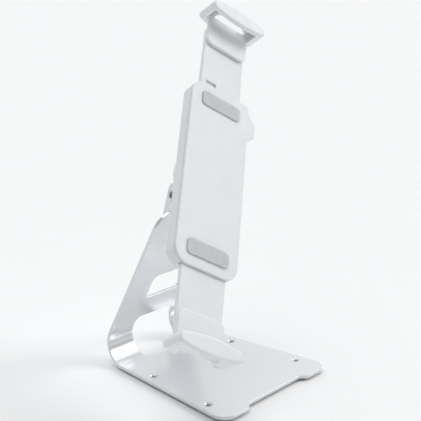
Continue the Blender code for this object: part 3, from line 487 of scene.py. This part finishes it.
def moulded(node, place, look, voxel, passes):
    """A CAD node's shape with every edge softened, as injection moulding leaves it."""
    bm = cad_copy(node)
    bmesh.ops.transform(bm, matrix=place.inverted(), verts=bm.verts)
    mesh = bpy.data.meshes.new("mould")
    bm.to_mesh(mesh)
    bm.free()
    obj = bpy.data.objects.new("mould", mesh)
    bpy.context.collection.objects.link(obj)
    remesh = obj.modifiers.new("skin", "REMESH")
    remesh.mode = "VOXEL"
    remesh.voxel_size = voxel
    soften = obj.modifiers.new("soften", "SMOOTH")
    soften.factor = 0.5
    soften.iterations = passes
    thin = obj.modifiers.new("thin", "DECIMATE")
    thin.ratio = CLAMP_KEPT
    bpy.context.view_layer.update()
    solved = obj.evaluated_get(bpy.context.evaluated_depsgraph_get())
    result = bmesh.new()
    result.from_mesh(solved.to_mesh())
    solved.to_mesh_clear()
    bpy.data.objects.remove(obj, do_unlink=True)
    made = piece(node, result, place, look, 180)
    made.modifiers.clear()
    return made


# ---- materials -----------------------------------------------------------------------
class Look:
    """A procedural material under construction, in object coordinates (metres)."""

    def __init__(self, name):
        self.made = bpy.data.materials.new(name)
        self.made.use_nodes = True
        self.nodes = self.made.node_tree.nodes
        self.links = self.made.node_tree.links
        self.shader = self.nodes["Principled BSDF"]
        self.where = self.nodes.new("ShaderNodeTexCoord").outputs["Object"]

    def set(self, **values):
        for name, value in values.items():
            self.shader.inputs[name.replace("_", " ")].default_value = value
        return self

    def noise(self, scale, detail=3.0, stretch=None):
        source = self.where
        if stretch:
            mapping = self.nodes.new("ShaderNodeMapping")
            mapping.inputs["Scale"].default_value = stretch
            self.links.new(source, mapping.inputs["Vector"])
            source = mapping.outputs["Vector"]
        node = self.nodes.new("ShaderNodeTexNoise")
        node.inputs["Scale"].default_value = scale
        node.inputs["Detail"].default_value = detail
        self.links.new(source, node.inputs["Vector"])
        return node.outputs["Fac"]

    def cells(self, scale):
        node = self.nodes.new("ShaderNodeTexVoronoi")
        node.inputs["Scale"].default_value = scale
        self.links.new(self.where, node.inputs["Vector"])
        return node.outputs["Distance"]

    def colours(self, value, dark, light):
        ramp = self.nodes.new("ShaderNodeValToRGB")
        ramp.color_ramp.elements[0].position = 0.3
        ramp.color_ramp.elements[1].position = 0.7
        ramp.color_ramp.elements[0].color = (*dark, 1)
        ramp.color_ramp.elements[1].color = (*light, 1)
        self.links.new(value, ramp.inputs["Fac"])
        self.links.new(ramp.outputs["Color"], self.shader.inputs["Base Color"])
        return self

    def roughness(self, value, low, high):
        spread = self.nodes.new("ShaderNodeMapRange")
        spread.inputs["From Min"].default_value = 0.3
        spread.inputs["From Max"].default_value = 0.7
        spread.inputs["To Min"].default_value = low
        spread.inputs["To Max"].default_value = high
        self.links.new(value, spread.inputs["Value"])
        self.links.new(spread.outputs["Result"], self.shader.inputs["Roughness"])
        return self

    def bumps(self, *layers):
        """Each layer is (value, height in metres)."""
        normal = None
        for value, height in layers:
            node = self.nodes.new("ShaderNodeBump")
            node.inputs["Distance"].default_value = height
            self.links.new(value, node.inputs["Height"])
            if normal:
                self.links.new(normal, node.inputs["Normal"])
            normal = node.outputs["Normal"]
        self.links.new(normal, self.shader.inputs["Normal"])
        return self


def silver_coat():
    """Satin silver-white coat on steel: fine orange peel, a trace of metal flake."""
    look = Look("silver_white_coat").set(Metallic=0.45, Specular_IOR_Level=0.7)
    flakes = look.cells(6000)
    look.colours(flakes, (0.76, 0.77, 0.79), (0.79, 0.80, 0.82))
    look.roughness(look.noise(60, 4), 0.21, 0.27)
    return look.bumps((look.noise(700, 2), 0.000012), (look.noise(3500, 2), 0.000003)).made


def moulded_white(name, low, high, tint):
    """White moulded plastic with a fine spark-eroded grain."""
    look = Look(name).set(Specular_IOR_Level=0.45)
    light = tuple(min(1.0, c * 1.03) for c in tint)
    look.colours(look.noise(45, 3), tint, light)
    look.roughness(look.noise(180, 3), low, high)
    return look.bumps((look.noise(2600, 4), 0.00001), (look.cells(4200), 0.000004)).made


def plated(name, dark, light, low, high):
    """Plated steel: faint cloudiness and fine drawn lines."""
    look = Look(name).set(Metallic=1.0)
    look.colours(look.noise(160, 4), dark, light)
    look.roughness(look.noise(900, 4), low, high)
    return look.bumps((look.noise(1500, 3, (1, 1, 14)), 0.000006)).made


def rubber():
    look = Look("grey_foot_rubber").set(Specular_IOR_Level=0.3)
    look.colours(look.noise(300, 4), (0.075, 0.075, 0.08), (0.10, 0.10, 0.105))
    look.roughness(look.noise(500, 3), 0.7, 0.85)
    return look.bumps((look.noise(2200, 4), 0.00003)).made


def silicone():
    look = Look("clear_soft_pad").set(Specular_IOR_Level=0.5, Transmission_Weight=0.35, IOR=1.41)
    look.colours(look.noise(140, 3), (0.74, 0.75, 0.77), (0.80, 0.81, 0.83))
    look.roughness(look.noise(300, 3), 0.42, 0.55)
    return look.bumps((look.noise(1800, 3), 0.000012)).made


def acetal():
    look = Look("natural_acetal").set(Specular_IOR_Level=0.45)
    look.colours(look.noise(200, 3), (0.72, 0.69, 0.62), (0.78, 0.75, 0.68))
    look.roughness(look.noise(500, 3), 0.32, 0.45)
    return look.bumps((look.noise(1800, 3), 0.000008)).made


COAT = silver_coat()
PLASTIC = moulded_white("moulded_white_grip", 0.38, 0.50, (0.78, 0.785, 0.80))
CLAMP_PLASTIC = moulded_white("moulded_white_clamp", 0.34, 0.44, (0.80, 0.805, 0.82))
ZINC = plated("zinc_plate", (0.52, 0.53, 0.55), (0.66, 0.67, 0.69), 0.22, 0.36)
BLACK = plated("black_oxide", (0.035, 0.035, 0.04), (0.07, 0.07, 0.075), 0.32, 0.5)
NICKEL = plated("nickel_plate", (0.62, 0.60, 0.56), (0.72, 0.70, 0.66), 0.14, 0.24)
RUBBER = rubber()
SILICONE = silicone()
ACETAL = acetal()


# ---- bent sheet ----------------------------------------------------------------------
def half_width(along):
    return FRONT_WIDTH / 2 - along * tan(SIDE_TAPER)


def blank_outline():
    """The flat sheet's outline, with the finger notch in its front edge."""
    right = [(half_width(0), 0, FRONT_CORNER),
             (half_width(BLANK_LENGTH), BLANK_LENGTH, TOP_CORNER)]
    left = [(-x, y, r) for x, y, r in reversed(right)]
    wide, narrow = NOTCH_HALF + NOTCH_ROUND, NOTCH_HALF - NOTCH_ROUND
    notch = [(-wide, 0, NOTCH_ROUND), (-narrow, NOTCH_DEPTH, NOTCH_ROUND),
             (narrow, NOTCH_DEPTH, NOTCH_ROUND), (wide, 0, NOTCH_ROUND)]
    return rounded(right + left + notch, 14)


def make_stand():
    cutters = [hole(rounded(corners), 0, SHEET, SHEET_EDGE)
               for corners in (HAND_HOLE, CABLE_HOLE)]
    for y in HOLE_PLACES_Y:
        for side in (-1, 1):
            slope = SINK_RADIUS - HOLE_RADIUS
            sink = turned([(0, 2 * SHEET), (SINK_RADIUS + SINK_SOFT, 2 * SHEET),
                           (SINK_RADIUS + SINK_SOFT, SHEET),
                           (SINK_RADIUS, SHEET - 0.4 * SINK_SOFT),
                           (HOLE_RADIUS + 0.1 * MM, SHEET - slope),
                           (HOLE_RADIUS, SHEET - slope - 0.1 * MM), (HOLE_RADIUS, -SHEET),
                           (0, -SHEET)], 48)
            cutters.append(moved(sink, (side * (half_width(y) - HOLE_INSET), y, 0)))
    for side in (-1, 1):
        round_hole = hole(circle(BRACKET_HOLE, 32), 0, SHEET, DRILLED_RIM)
        place = (side * BRACKET_SCREW_X, BLANK_LENGTH - BRACKET_SCREW_DROP, 0)
        cutters.append(moved(round_hole, place))
    bm = cut(plate(blank_outline(), 0, SHEET, SHEET_EDGE), *cutters)
    bmesh.ops.triangulate(bm, faces=bm.faces)
    for i in range(BEND_STRIPS + 1):
        line = BASE_FLAT + BEND_LENGTH * i / BEND_STRIPS
        bmesh.ops.bisect_plane(bm, geom=bm.verts[:] + bm.edges[:] + bm.faces[:], dist=1e-7,
                               plane_co=(0, line, 0), plane_no=(0, 1, 0))
    for vert in bm.verts:
        y, z = bend(vert.co.y, vert.co.z)
        vert.co = (vert.co.x, y - ORIGIN_Y, z)
    piece("bent_stand", bm, STAND, COAT)


# ---- bracket and tilt plate ----------------------------------------------------------
ON_EDGE = Matrix(((0, 0, 1), (1, 0, 0), (0, 1, 0))).to_4x4()
ACROSS = Matrix.Rotation(pi / 2, 4, "Y")


def make_bracket():
    low, high = GAP, GAP + EAR
    outer = EAR_INNER + EAR
    reach = HINGE_BEHIND + EAR_PAST_HINGE
    web = box_outline(outer - EAR / 2, -BRACKET_LENGTH, -GAP * 4, WEB_ROUND)
    body = plate(web, low, high, METAL_EDGE)
    ear_low = low + EAR / 8
    outline = arc((HINGE_RISE, HINGE_BEHIND), EAR_RADIUS, -pi / 2 + EAR_START, pi / 2, 28)
    outline += [(-BRACKET_LENGTH + EAR_SLOPE, reach), (-BRACKET_LENGTH + EAR_LIFT, reach / 2),
                (-BRACKET_LENGTH + EAR_LIFT, ear_low), (GAP * 4, ear_low)]
    for start in (EAR_INNER, -outer):
        ear = plate(outline, 0, EAR, METAL_EDGE)
        body = join(body, moved(ear, (start, 0, 0), ON_EDGE))
    cutters = [moved(hole(circle(BRACKET_HOLE, 32), low, high, DRILLED_RIM),
                     (side * BRACKET_SCREW_X, -BRACKET_SCREW_DROP, 0)) for side in (-1, 1)]
    for start in (EAR_INNER, -outer):
        pin = hole(circle(PIN_HOLE, 40), 0, EAR, DRILLED_RIM)
        cutters.append(moved(pin, (start, HINGE_RISE, HINGE_BEHIND), ACROSS))
    piece("hinge_bracket", cut(body, *cutters), UPRIGHT, COAT)


def make_tilt_plate():
    front = HEAD_DEPTH + PLATE_Z
    body = plate(circle(PLATE_RADIUS, 96), front - PLATE, front, METAL_EDGE)
    foot = LUG_RADIUS * LUG_SPREAD
    outline = arc((0, 0), LUG_RADIUS, pi, 2 * pi, 28)
    outline += [(foot, front - PLATE / 2), (-foot, front - PLATE / 2)]
    for start in (LUG_OUTER - LUG, -LUG_OUTER):
        body = join(body, moved(plate(outline, 0, LUG, METAL_EDGE), (start, 0, 0), ON_EDGE))
    cutters = [hole(circle(PIN_HOLE, 40), front - PLATE, front, DRILLED_RIM)]
    for start in (LUG_OUTER - LUG, -LUG_OUTER):
        pin = hole(circle(PIN_HOLE, 40), 0, LUG, DRILLED_RIM)
        cutters.append(moved(pin, (start, 0, 0), ACROSS))
    piece("tilt_plate", cut(body, *cutters), HINGE, COAT)


# ---- screws, head at the bottom ------------------------------------------------------
def screw(radius, length, head_radius, head, thread_start, pitch):
    """Socket screw: domed head from -head to 0, plain shank, then a thread up to length."""
    dome = [(0, -head), (head_radius * 0.55, -head), (head_radius * 0.8, -head * 0.95),
            (head_radius * 0.94, -head * 0.75), (head_radius, -head * 0.45),
            (head_radius, -0.08 * head), (head_radius * 0.97, 0),
            (radius, 0), (radius, thread_start), (0, thread_start)]
    body = turned(dome)
    key = prism(circle(head_radius * 0.48, 6), -head - radius, -head * 0.4)
    dimple = turned([(0, -head - radius), (head_radius * 0.56, -head - radius),
                     (head_radius * 0.56, -head), (head_radius * 0.44, -head * 0.9),
                     (0, -head * 0.9)], 48)
    body = cut(body, key, dimple)
    rod = threaded(radius, pitch, thread_start - pitch, length)
    return together(body, rod)


def make_screws():
    for side, name in ((1, "left"), (-1, "right")):
        place = Matrix.Translation((side * BRACKET_SCREW_X, -BRACKET_SCREW_DROP, -SHEET - GAP))
        length = SHEET + 2 * GAP + EAR + SCREW_TAIL
        body = screw(radius=2.0 * MM, length=length, head_radius=3.8 * MM, head=2.2 * MM,
                     thread_start=1.0 * MM, pitch=0.7 * MM)
        piece("bracket_screw_" + name, body, UPRIGHT @ place, ZINC, 32)
    ear_outer = EAR_INNER + EAR
    length = 2 * ear_outer + 3 * GAP + SPRING_WASHER + HINGE_NUT + HINGE_TAIL
    body = screw(radius=3.0 * MM, length=length, head_radius=5.0 * MM, head=4.0 * MM,
                 thread_start=2 * ear_outer, pitch=1.0 * MM)
    piece("hinge_bolt", moved(body, (-ear_outer - GAP, 0, 0), ACROSS), HINGE, ZINC, 32)
    head_top = PLATE_Z - PLATE - GAP - SPRING_WASHER - GAP
    body = screw(radius=3.0 * MM, length=NUT_Z - GAP - head_top, head_radius=6.2 * MM,
                 head=3.0 * MM, thread_start=5.0 * MM, pitch=1.0 * MM)
    piece("swivel_bolt", moved(body, (0, 0, head_top)), GRIP, ZINC, 32)
    seat = HOUSING_BACK_Z + COVER_HEAD + GAP
    for number, (x, y) in enumerate(cover_screw_places(), 1):
        body = screw(radius=1.3 * MM, length=FRONT_COVER_Z - SKIN - GAP - seat,
                     head_radius=COVER_HEAD_RADIUS, head=COVER_HEAD,
                     thread_start=4.0 * MM, pitch=0.6 * MM)
        piece("cover_screw_%d" % number, moved(body, (x, y, seat)), GRIP, BLACK, 32)
    seat = ARM_Z - ARM - GAP
    length = ARM_Z + CLAMP_PLATE - SKIN - seat
    for name, (_, shift) in ARM_SIDES.items():
        y = arm_end(shift) - CLAMP_SCREW_INSET
        for side, hand in ((-1, "left"), (1, "right")):
            body = screw(radius=1.3 * MM, length=length, head_radius=COVER_HEAD_RADIUS,
                         head=COVER_HEAD, thread_start=1.5 * MM, pitch=0.6 * MM)
            body = moved(body, (side * CLAMP_SCREW_X, y, seat))
            piece("clamp_screw_%s_%s" % (name, hand), body, ARM_FRAMES[name], BLACK, 32)


# ---- grip covers ---------------------------------------------------------------------
def housing_outline():
    bulge = LOCK_X + LOCK_LOBE
    run = (bulge - HOUSING_HALF) / 2
    shoulder = LOCK_LOBE * 0.55
    return rounded([(-HOUSING_HALF, -HOUSING_HALF_LENGTH, HOUSING_CORNER),
                    (HOUSING_HALF, -HOUSING_HALF_LENGTH, HOUSING_CORNER),
                    (HOUSING_HALF, LOCK_Y - LOCK_LOBE - run, LOBE_ROUND),
                    (bulge, LOCK_Y - shoulder, LOBE_ROUND * 2),
                    (bulge, LOCK_Y + shoulder, LOBE_ROUND * 2),
                    (HOUSING_HALF, LOCK_Y + LOCK_LOBE + run, LOBE_ROUND),
                    (HOUSING_HALF, HOUSING_HALF_LENGTH, LOCK_LOBE * 0.5),
                    (-HOUSING_HALF, HOUSING_HALF_LENGTH, HOUSING_CORNER)], 12)


def cover_screw_places():
    return [(x, y) for y in (-COVER_SCREW_Y, COVER_SCREW_Y)
            for x in (-COVER_SCREW_X, COVER_SCREW_X)]


def quarter(edge, steps):
    """(inset, height) points up a rounded edge, from the flat face to the wall."""
    return [(edge * (sin(pi / 2 * i / steps) - 1), edge * (1 - cos(pi / 2 * i / steps)))
            for i in range(steps + 1)]


def make_rear_cover():
    rings = [(inset, HOUSING_BACK_Z + rise) for inset, rise in quarter(HOUSING_EDGE, 7)]
    rings += [(inset, ARM_Z - rise) for inset, rise in reversed(quarter(SEAM_EDGE, 2))]
    body = loft(housing_outline(), rings)
    far = 2 * HOUSING_HALF_LENGTH
    cutters = [prism(box_outline(ARM_HALF + GAP, -far, far), NUT_Z, ARM_Z + ARM)]
    pocket_end = HOUSING_HALF_LENGTH - POCKET_END
    for low, high in ((-pocket_end, -POCKET_MIDDLE), (POCKET_MIDDLE, pocket_end)):
        pocket = box_outline(ARM_HALF - POCKET_INSET, low, high, POCKET_ROUND)
        cutters.append(prism(pocket, REAR_WALL_Z, 0))
    cutters.append(prism(circle((NUT_HALF + GAP) / cos(pi / 6), 6), REAR_WALL_Z, 0))
    cutters.append(hole(circle(PIN_HOLE, 40), HOUSING_BACK_Z, REAR_WALL_Z, DRILLED_RIM))
    centre = (LOCK_X, LOCK_Y)
    cutters.append(prism(circle(BARREL_RADIUS, 48, centre), NUT_Z, 0))
    cutters.append(hole(circle(BARREL_HOLE, 48, centre), HOUSING_BACK_Z, NUT_Z, FINE_EDGE))
    for place in cover_screw_places():
        cutters.append(prism(circle(SMALL_HOLE, 24, place), HOUSING_BACK_Z - MM, 0))
        sink = HOUSING_BACK_Z + COVER_HEAD + 2 * GAP
        rim = 0.25 * MM
        cutters.append(loft(circle(COVER_HEAD_RADIUS + GAP, 40, place),
                            [(rim, HOUSING_BACK_Z - MM), (rim, HOUSING_BACK_Z),
                             (0, HOUSING_BACK_Z + rim), (0, sink)]))
    piece("rear_cover", cut(body, *cutters), GRIP, PLASTIC)


def make_front_cover():
    low = FRONT_COVER_Z - FRONT_COVER
    rings = [(inset, low + rise) for inset, rise in quarter(SEAM_EDGE, 2)]
    rings += [(inset, FRONT_COVER_Z - rise) for inset, rise in reversed(quarter(COVER_EDGE, 5))]
    body = loft(housing_outline(), rings)
    post = loft(circle(POST_RADIUS, 40), [(-POST_EDGE, NUT_Z + GAP),
                                          (0, NUT_Z + GAP + POST_EDGE), (0, low + GAP)])
    blind = [(FINE_EDGE, low - MM), (FINE_EDGE, low), (0, low + FINE_EDGE),
             (0, FRONT_COVER_Z - SKIN)]
    cutters = [loft(circle(SMALL_HOLE, 24, place), blind) for place in cover_screw_places()]
    piece("front_cover", cut(join(body, post), *cutters), GRIP, PLASTIC)


# ---- arms ----------------------------------------------------------------------------
def arm_end(shift):
    return CLAMP_REACH + shift - BAR_MIDDLE / 2 - ARM_SHORT


def rack_teeth(first, last):
    slope = tan(PRESSURE)
    half_pitch = (TOOTH_PITCH / 2 - BACKLASH) / 2
    half_tip = half_pitch - (PITCH_RADIUS - RACK_TIP) * slope
    half_root = half_pitch + (RACK_ROOT - PITCH_RADIUS) * slope
    points = []
    tooth = round(last / TOOTH_PITCH)
    while tooth * TOOTH_PITCH - half_root > first:
        y = tooth * TOOTH_PITCH
        if y + half_root < last:
            points += [(RACK_ROOT, y + half_root), (RACK_TIP, y + half_tip),
                       (RACK_TIP, y - half_tip), (RACK_ROOT, y - half_root)]
        tooth -= 1
    return points


def make_arm(name, shift):
    slot_inner = RACK_TIP - 2 * GAP
    slot_outer = RACK_OUTER + 2 * GAP
    wide = ARM_ROOT + shift
    tail = -RACK_REACH + shift
    slot_end = wide + 2 * ARM_IN + RACK_REACH - ARM_ROOT + SLOT_SPARE
    end = arm_end(shift)
    outline = [(-ARM_HALF, wide), (-slot_outer, wide), (-slot_outer, slot_end),
               (-slot_inner, slot_end), (-slot_inner, wide), (slot_inner, wide)]
    outline += rack_teeth(tail + RACK_MARGIN, wide - RACK_MARGIN)
    outline += [(RACK_ROOT, tail), (RACK_OUTER, tail), (RACK_OUTER, wide), (ARM_HALF, wide)]
    outline += rounded([(ARM_HALF, end, ARM_CORNER), (-ARM_HALF, end, ARM_CORNER),
                        (0, 0, 0)], 10)[:-1]
    body = plate(outline, ARM_Z - ARM, ARM_Z, FINE_EDGE, 2)
    y = end - CLAMP_SCREW_INSET
    holes = [hole(circle(SMALL_HOLE, 24, (x, y)), ARM_Z - ARM, ARM_Z, FINE_EDGE)
             for x in (-CLAMP_SCREW_X, CLAMP_SCREW_X)]
    piece("arm_" + name, cut(body, *holes), ARM_FRAMES[name], PLASTIC)


# ---- everything ----------------------------------------------------------------------
def make_small_pieces():
    for node in ("bracket_nut_left", "bracket_nut_right", "hinge_nut", "swivel_nut",
                 "hinge_spring_washer", "swivel_spring_washer"):
        softened(node, ZINC, NUT_SOFT)
    for node in ("friction_washer_left", "friction_washer_right", "swivel_washer", "pinion"):
        softened(node, ACETAL, FINE_SOFT, 2)
    for node in ("lock_barrel", "lock_plug"):
        softened(node, NICKEL, FINE_SOFT, 2)
    softened("lock_cam", BLACK, NUT_SOFT)
    for node in frame["nodes"]:
        if node.startswith("foot_"):
            softened(node, RUBBER, RUBBER_SOFT)
        elif "_pad_" in node:
            softened(node, SILICONE, SILICONE_SOFT)


def make_lights():
    world = bpy.data.worlds.new("studio")
    bpy.context.scene.world = world
    world.use_nodes = True
    nodes, links = world.node_tree.nodes, world.node_tree.links
    direction = nodes.new("ShaderNodeTexCoord").outputs["Generated"]

    def spread(source, first, last, start, end):
        node = nodes.new("ShaderNodeMapRange")
        for name, value in (("From Min", first), ("From Max", last), ("To Min", start),
                            ("To Max", end)):
            node.inputs[name].default_value = value
        links.new(source, node.inputs["Value"])
        return node.outputs["Result"]

    # a white sweep behind the stand, dimmer in front of it, and white low down all round
    along = nodes.new("ShaderNodeVectorMath")
    along.operation = "DOT_PRODUCT"
    along.inputs[1].default_value = SWEEP_WAY
    links.new(direction, along.inputs[0])
    height = nodes.new("ShaderNodeSeparateXYZ")
    links.new(direction, height.inputs["Vector"])
    brightest = nodes.new("ShaderNodeMath")
    brightest.operation = "MAXIMUM"
    links.new(spread(along.outputs["Value"], -0.2, 0.7, 0.24, 1.0), brightest.inputs[0])
    links.new(spread(height.outputs["Z"], 0.05, 0.25, 0.92, 0.0), brightest.inputs[1])
    links.new(brightest.outputs["Value"], nodes["Background"].inputs["Strength"])
    nodes["Background"].inputs["Color"].default_value = (0.97, 0.985, 1.0, 1)
    middle = (CAD_BOX[0] + CAD_BOX[1]) / 2
    for name, (place, size, power) in LAMPS.items():
        lamp = bpy.data.lights.new(name, "SUN")
        lamp.angle = radians(size)
        lamp.energy = power
        obj = bpy.data.objects.new(name, lamp)
        bpy.context.collection.objects.link(obj)
        obj.location = place
        obj.rotation_euler = (Vector(place) - middle).to_track_quat("Z", "Y").to_euler()


def make_floor():
    bm = bmesh.new()
    bmesh.ops.create_circle(bm, cap_ends=True, segments=96, radius=FLOOR_RADIUS)
    mesh = bpy.data.meshes.new("floor")
    bm.to_mesh(mesh)
    bm.free()
    look = Look("pale_floor").set(Specular_IOR_Level=0.2)
    look.colours(look.noise(3, 2), (0.92, 0.92, 0.92), (0.93, 0.93, 0.93))
    look.roughness(look.noise(8, 2), 0.65, 0.75)
    mesh.materials.append(look.made)
    floor = bpy.data.objects.new("floor", mesh)
    bpy.context.collection.objects.link(floor)
    floor.location = (0, 0, FLOOR_Z)


def make_camera():
    data = bpy.data.cameras.new("view")
    data.lens = CAMERA_LENS
    data.sensor_width = 36.0
    camera = bpy.data.objects.new("view", data)
    bpy.context.collection.objects.link(camera)
    camera.location = CAMERA_PLACE
    camera.rotation_euler = Vector(CAMERA_BACK).to_track_quat("Z", "Y").to_euler()
    bpy.context.scene.camera = camera


def build():
    make_camera()
    make_lights()
    make_floor()
    make_stand()
    make_bracket()
    make_tilt_plate()
    make_screws()
    make_rear_cover()
    make_front_cover()
    for name, (_, shift) in ARM_SIDES.items():
        make_arm(name, shift)
        moulded("clamp_" + name, ARM_FRAMES[name], CLAMP_PLASTIC, CLAMP_VOXEL,
                 CLAMP_PASSES)
    make_small_pieces()
    bpy.context.scene.view_settings.view_transform = "Standard"


build()
